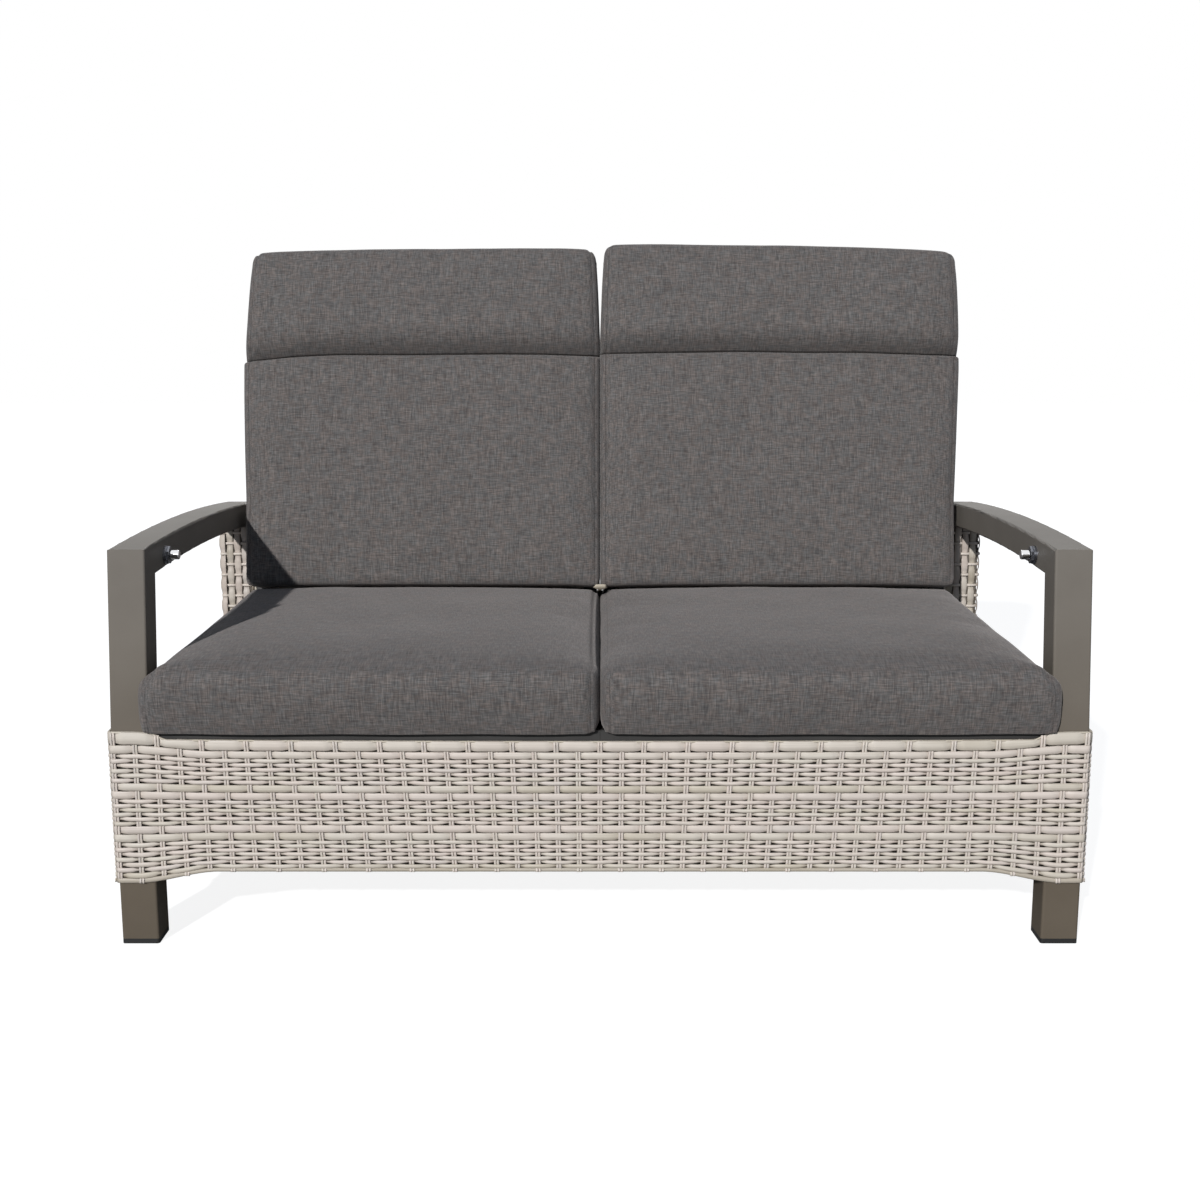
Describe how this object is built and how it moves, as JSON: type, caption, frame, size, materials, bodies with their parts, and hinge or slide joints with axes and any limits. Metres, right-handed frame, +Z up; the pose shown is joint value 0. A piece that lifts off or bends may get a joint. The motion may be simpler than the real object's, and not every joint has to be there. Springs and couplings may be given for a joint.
{
  "type": "loveseat",
  "caption": "Patio loveseat with woven resin skirt, aluminium arms and thick grey cushions; each high back reclines on its own by a push button in the arm.",
  "frame": {"origin": "on the floor under the middle of the whole piece's box, backs upright", "axes": "the front faces -Y, +X is to the right as seen from the front, +Z is up"},
  "size_m": [1.508, 0.9227, 1.0991],
  "materials": {
    "arm_paint": "fine-textured bronze grey powder coat on aluminium",
    "frame_paint": "dark matt powder coat",
    "woven_resin": "hand-woven flat resin strands in mixed greige shades",
    "zinc_steel": "zinc plated",
    "polished_rod": "ground and polished",
    "cylinder_paint": "satin black paint",
    "chrome_trim": "bright chrome plate",
    "black_plastic": "moulded black plastic",
    "cushion_fabric": "woven outdoor fabric in mixed dark greys"
  },
  "bodies": {
    "base": {"front_top_rail": "frame_paint", "front_bottom_rail": "frame_paint", "rear_top_rail": "frame_paint", "rear_bottom_rail": "frame_paint", "centre_rail": "frame_paint", "wicker_skirt_front": "woven_resin", "wicker_skirt_rear": "woven_resin", "hinge_bracket_centre": "frame_paint", "hinge_pins": "zinc_steel", "bracket_bolts": "zinc_steel", "foot_caps": "black_plastic", "anchor_pins": "zinc_steel", "front_leg_left": "arm_paint", "rear_leg_left": "arm_paint", "side_top_rail_left": "frame_paint", "side_bottom_rail_left": "frame_paint", "seat_deck_left": "frame_paint", "wicker_skirt_left": "woven_resin", "arm_post_left": "arm_paint", "arm_rail_left": "arm_paint", "post_wrap_left": "woven_resin", "hinge_bracket_left": "frame_paint", "spring_anchor_left": "frame_paint", "button_bezel_left": "chrome_trim", "release_cable_left": "black_plastic", "seat_cushion_left": "cushion_fabric", "front_leg_right": "arm_paint", "rear_leg_right": "arm_paint", "side_top_rail_right": "frame_paint", "side_bottom_rail_right": "frame_paint", "seat_deck_right": "frame_paint", "wicker_skirt_right": "woven_resin", "arm_post_right": "arm_paint", "arm_rail_right": "arm_paint", "post_wrap_right": "woven_resin", "hinge_bracket_right": "frame_paint", "spring_anchor_right": "frame_paint", "button_bezel_right": "chrome_trim", "release_cable_right": "black_plastic", "seat_cushion_right": "cushion_fabric"},
    "back_left": {"back_frame_left": "frame_paint", "back_weave_left": "woven_resin", "recline_lever_left": "frame_paint", "lever_pin_left": "zinc_steel", "back_cushion_left": "cushion_fabric"},
    "spring_rod_left": {"spring_rod_left": "polished_rod", "release_head_left": "cylinder_paint"},
    "spring_cylinder_left": {"spring_cylinder_left": "cylinder_paint"},
    "release_lever_left": {"release_lever_left": "zinc_steel"},
    "button_left": {"button_left": "chrome_trim"},
    "back_right": {"back_frame_right": "frame_paint", "back_weave_right": "woven_resin", "recline_lever_right": "frame_paint", "lever_pin_right": "zinc_steel", "back_cushion_right": "cushion_fabric"},
    "spring_rod_right": {"spring_rod_right": "polished_rod", "release_head_right": "cylinder_paint"},
    "spring_cylinder_right": {"spring_cylinder_right": "cylinder_paint"},
    "release_lever_right": {"release_lever_right": "zinc_steel"},
    "button_right": {"button_right": "chrome_trim"}
  },
  "joints": [
    {"name": "back_recline_left", "type": "hinge", "parent": "base", "child": "back_left", "pos_m": [-0.346, 0.3006, 0.4], "axis": [-1, 0, 0], "range_deg": [0, 35]},
    {"name": "spring_tilt_left", "type": "hinge", "parent": "base", "child": "spring_rod_left", "pos_m": [-0.346, -0.1414, 0.262], "axis": [1, 0, 0], "range_deg": [0, 1.6]},
    {"name": "spring_slide_left", "type": "slide", "parent": "spring_rod_left", "child": "spring_cylinder_left", "axis": [0, 0.9953, 0.0965], "range_m": [-0.057, 0]},
    {"name": "release_lever_turn_left", "type": "hinge", "parent": "spring_rod_left", "child": "release_lever_left", "pos_m": [-0.346, -0.15649, 0.27259], "axis": [0, 0.0965, -0.9953], "range_deg": [0, 11.5]},
    {"name": "button_push_left", "type": "slide", "parent": "base", "child": "button_left", "axis": [-1, 0, 0], "range_m": [0, 0.005], "stiffness_N_per_m": 600},
    {"name": "back_recline_right", "type": "hinge", "parent": "base", "child": "back_right", "pos_m": [0.346, 0.3006, 0.4], "axis": [-1, 0, 0], "range_deg": [0, 35]},
    {"name": "spring_tilt_right", "type": "hinge", "parent": "base", "child": "spring_rod_right", "pos_m": [0.346, -0.1414, 0.262], "axis": [1, 0, 0], "range_deg": [0, 1.6]},
    {"name": "spring_slide_right", "type": "slide", "parent": "spring_rod_right", "child": "spring_cylinder_right", "axis": [0, 0.9953, 0.0965], "range_m": [-0.057, 0]},
    {"name": "release_lever_turn_right", "type": "hinge", "parent": "spring_rod_right", "child": "release_lever_right", "pos_m": [0.346, -0.15649, 0.27259], "axis": [0, -0.0965, 0.9953], "range_deg": [0, 11.5]},
    {"name": "button_push_right", "type": "slide", "parent": "base", "child": "button_right", "axis": [1, 0, 0], "range_m": [0, 0.005], "stiffness_N_per_m": 600}
  ],
  "couplings": [
    {"joint": "spring_tilt_left", "follows": "back_recline_left", "ratio": 0.03932},
    {"joint": "spring_slide_left", "follows": "back_recline_left", "m_per_rad": -0.092009},
    {"joint": "release_lever_turn_left", "follows": "button_push_left", "rad_per_m": 38.462},
    {"joint": "spring_tilt_right", "follows": "back_recline_right", "ratio": 0.03932},
    {"joint": "spring_slide_right", "follows": "back_recline_right", "m_per_rad": -0.092009},
    {"joint": "release_lever_turn_right", "follows": "button_push_right", "rad_per_m": 38.462}
  ]
}
